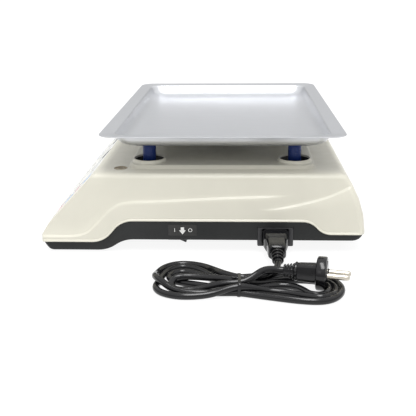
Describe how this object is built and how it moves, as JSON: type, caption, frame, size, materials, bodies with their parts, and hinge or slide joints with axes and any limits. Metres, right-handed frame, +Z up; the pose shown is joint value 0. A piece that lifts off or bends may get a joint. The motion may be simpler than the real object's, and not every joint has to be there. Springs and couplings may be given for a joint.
{
  "type": "counter price scale",
  "caption": "Counter-top price scale: ivory housing on a dark tray, dish pan on four posts, sloped keypad, mains lead plugged in and tied in a hank.",
  "frame": {"origin": "on the table, below the middle of the scale without its lead", "axes": "+Z up, -Y the operator side with the keypad slope, +X the side with the mains inlet and the rocker switch"},
  "size_m": [0.459, 0.308, 0.1128],
  "materials": {
    "ivory_plastic": "fine moulded texture",
    "tray_plastic": "fine moulded texture",
    "dark_plastic": "satin",
    "panel_plastic": "printed overlay",
    "window": "smoked",
    "circuit_board": "satin",
    "battery_case": "satin",
    "transformer_steel": "varnished laminations",
    "cell_aluminium": "machined",
    "cast_frame": "cast",
    "pan_steel": "satin",
    "fastener_steel": "zinc plated",
    "nut_brass": "turned",
    "contact_nickel": "nickel plated",
    "vial_plastic": "clear over amber",
    "label_paper": "printed",
    "lead_rubber": "satin moulded",
    "foot_rubber": "matte",
    "post_plastic": "satin moulded",
    "key_white": "moulded",
    "key_blue": "moulded",
    "key_red": "moulded"
  },
  "bodies": {
    "root": {"base_tray": "tray_plastic", "battery": "battery_case", "cell_bolts": "fastener_steel", "cell_mount_block": "cell_aluminium", "display_lens": "window", "display_module": "circuit_board", "foot_nuts": "nut_brass", "housing_screws": "fastener_steel", "inlet_housing": "dark_plastic", "inlet_pins": "contact_nickel", "keypad_bezel": "panel_plastic", "keypad_board": "circuit_board", "lead_connector": "lead_rubber", "lead_from_connector": "lead_rubber", "lead_hank": "lead_rubber", "lead_tie": "lead_rubber", "lead_to_plug": "lead_rubber", "level_vial": "vial_plastic", "load_cell": "cell_aluminium", "main_board": "circuit_board", "overload_stop": "fastener_steel", "plug_body": "lead_rubber", "plug_pins": "contact_nickel", "rear_display_lens": "window", "rear_display_module": "circuit_board", "switch_body": "dark_plastic", "switch_label": "label_paper", "transformer": "transformer_steel", "upper_housing": "ivory_plastic"},
    "platform": {"platform_spider": "cast_frame", "platform_bolts": "fastener_steel", "post_front_left": "post_plastic", "post_front_right": "post_plastic", "post_rear_left": "post_plastic", "post_rear_right": "post_plastic", "post_screws": "fastener_steel"},
    "pan": {"weighing_pan": "pan_steel"},
    "rocker": {"rocker": "dark_plastic"},
    "foot_front_left": {"foot_front_left": "foot_rubber"},
    "foot_front_right": {"foot_front_right": "foot_rubber"},
    "foot_rear_left": {"foot_rear_left": "foot_rubber"},
    "foot_rear_right": {"foot_rear_right": "foot_rubber"},
    "key_digit_a1": {"key_digit_a1": "key_white"},
    "key_digit_a2": {"key_digit_a2": "key_white"},
    "key_digit_a3": {"key_digit_a3": "key_white"},
    "key_digit_a4": {"key_digit_a4": "key_white"},
    "key_digit_b1": {"key_digit_b1": "key_white"},
    "key_digit_b2": {"key_digit_b2": "key_white"},
    "key_digit_b3": {"key_digit_b3": "key_white"},
    "key_digit_b4": {"key_digit_b4": "key_white"},
    "key_digit_c1": {"key_digit_c1": "key_white"},
    "key_digit_c2": {"key_digit_c2": "key_white"},
    "key_digit_c3": {"key_digit_c3": "key_white"},
    "key_digit_c4": {"key_digit_c4": "key_white"},
    "key_function_1": {"key_function_1": "key_red"},
    "key_function_2": {"key_function_2": "key_red"},
    "key_memory_1": {"key_memory_1": "key_blue"},
    "key_memory_2": {"key_memory_2": "key_blue"},
    "key_memory_3": {"key_memory_3": "key_blue"},
    "key_memory_4": {"key_memory_4": "key_blue"}
  },
  "joints": [
    {"name": "platform_load", "type": "slide", "parent": "root", "child": "platform", "axis": [0, 0, 1], "range_m": [-0.0005, 0], "stiffness_N_per_m": 200000, "deforming": ["load_cell"]},
    {"name": "pan_lift", "type": "slide", "parent": "platform", "child": "pan", "axis": [0, 0, 1], "range_m": [0, 0.06]},
    {"name": "rocker_tilt", "type": "hinge", "parent": "root", "child": "rocker", "pos_m": [0.155, -0.0235, 0.0114], "axis": [1, 0, 0], "range_deg": [0, 24]},
    {"name": "foot_front_left_turn", "type": "hinge", "parent": "root", "child": "foot_front_left", "pos_m": [-0.112, -0.12, 0.01], "axis": [0, 0, 1], "continuous": true},
    {"name": "foot_front_right_turn", "type": "hinge", "parent": "root", "child": "foot_front_right", "pos_m": [0.112, -0.12, 0.01], "axis": [0, 0, 1], "continuous": true},
    {"name": "foot_rear_left_turn", "type": "hinge", "parent": "root", "child": "foot_rear_left", "pos_m": [-0.112, 0.125, 0.01], "axis": [0, 0, 1], "continuous": true},
    {"name": "foot_rear_right_turn", "type": "hinge", "parent": "root", "child": "foot_rear_right", "pos_m": [0.112, 0.125, 0.01], "axis": [0, 0, 1], "continuous": true},
    {"name": "key_digit_a1_press", "type": "slide", "parent": "root", "child": "key_digit_a1", "axis": [0, 0.7283, -0.6853], "range_m": [0, 0.0007], "stiffness_N_per_m": 900},
    {"name": "key_digit_a2_press", "type": "slide", "parent": "root", "child": "key_digit_a2", "axis": [0, 0.7283, -0.6853], "range_m": [0, 0.0007], "stiffness_N_per_m": 900},
    {"name": "key_digit_a3_press", "type": "slide", "parent": "root", "child": "key_digit_a3", "axis": [0, 0.7283, -0.6853], "range_m": [0, 0.0007], "stiffness_N_per_m": 900},
    {"name": "key_digit_a4_press", "type": "slide", "parent": "root", "child": "key_digit_a4", "axis": [0, 0.7283, -0.6853], "range_m": [0, 0.0007], "stiffness_N_per_m": 900},
    {"name": "key_digit_b1_press", "type": "slide", "parent": "root", "child": "key_digit_b1", "axis": [0, 0.7283, -0.6853], "range_m": [0, 0.0007], "stiffness_N_per_m": 900},
    {"name": "key_digit_b2_press", "type": "slide", "parent": "root", "child": "key_digit_b2", "axis": [0, 0.7283, -0.6853], "range_m": [0, 0.0007], "stiffness_N_per_m": 900},
    {"name": "key_digit_b3_press", "type": "slide", "parent": "root", "child": "key_digit_b3", "axis": [0, 0.7283, -0.6853], "range_m": [0, 0.0007], "stiffness_N_per_m": 900},
    {"name": "key_digit_b4_press", "type": "slide", "parent": "root", "child": "key_digit_b4", "axis": [0, 0.7283, -0.6853], "range_m": [0, 0.0007], "stiffness_N_per_m": 900},
    {"name": "key_digit_c1_press", "type": "slide", "parent": "root", "child": "key_digit_c1", "axis": [0, 0.7283, -0.6853], "range_m": [0, 0.0007], "stiffness_N_per_m": 900},
    {"name": "key_digit_c2_press", "type": "slide", "parent": "root", "child": "key_digit_c2", "axis": [0, 0.7283, -0.6853], "range_m": [0, 0.0007], "stiffness_N_per_m": 900},
    {"name": "key_digit_c3_press", "type": "slide", "parent": "root", "child": "key_digit_c3", "axis": [0, 0.7283, -0.6853], "range_m": [0, 0.0007], "stiffness_N_per_m": 900},
    {"name": "key_digit_c4_press", "type": "slide", "parent": "root", "child": "key_digit_c4", "axis": [0, 0.7283, -0.6853], "range_m": [0, 0.0007], "stiffness_N_per_m": 900},
    {"name": "key_function_1_press", "type": "slide", "parent": "root", "child": "key_function_1", "axis": [0, 0.7283, -0.6853], "range_m": [0, 0.0007], "stiffness_N_per_m": 900},
    {"name": "key_function_2_press", "type": "slide", "parent": "root", "child": "key_function_2", "axis": [0, 0.7283, -0.6853], "range_m": [0, 0.0007], "stiffness_N_per_m": 900},
    {"name": "key_memory_1_press", "type": "slide", "parent": "root", "child": "key_memory_1", "axis": [0, 0.7283, -0.6853], "range_m": [0, 0.0007], "stiffness_N_per_m": 900},
    {"name": "key_memory_2_press", "type": "slide", "parent": "root", "child": "key_memory_2", "axis": [0, 0.7283, -0.6853], "range_m": [0, 0.0007], "stiffness_N_per_m": 900},
    {"name": "key_memory_3_press", "type": "slide", "parent": "root", "child": "key_memory_3", "axis": [0, 0.7283, -0.6853], "range_m": [0, 0.0007], "stiffness_N_per_m": 900},
    {"name": "key_memory_4_press", "type": "slide", "parent": "root", "child": "key_memory_4", "axis": [0, 0.7283, -0.6853], "range_m": [0, 0.0007], "stiffness_N_per_m": 900}
  ]
}
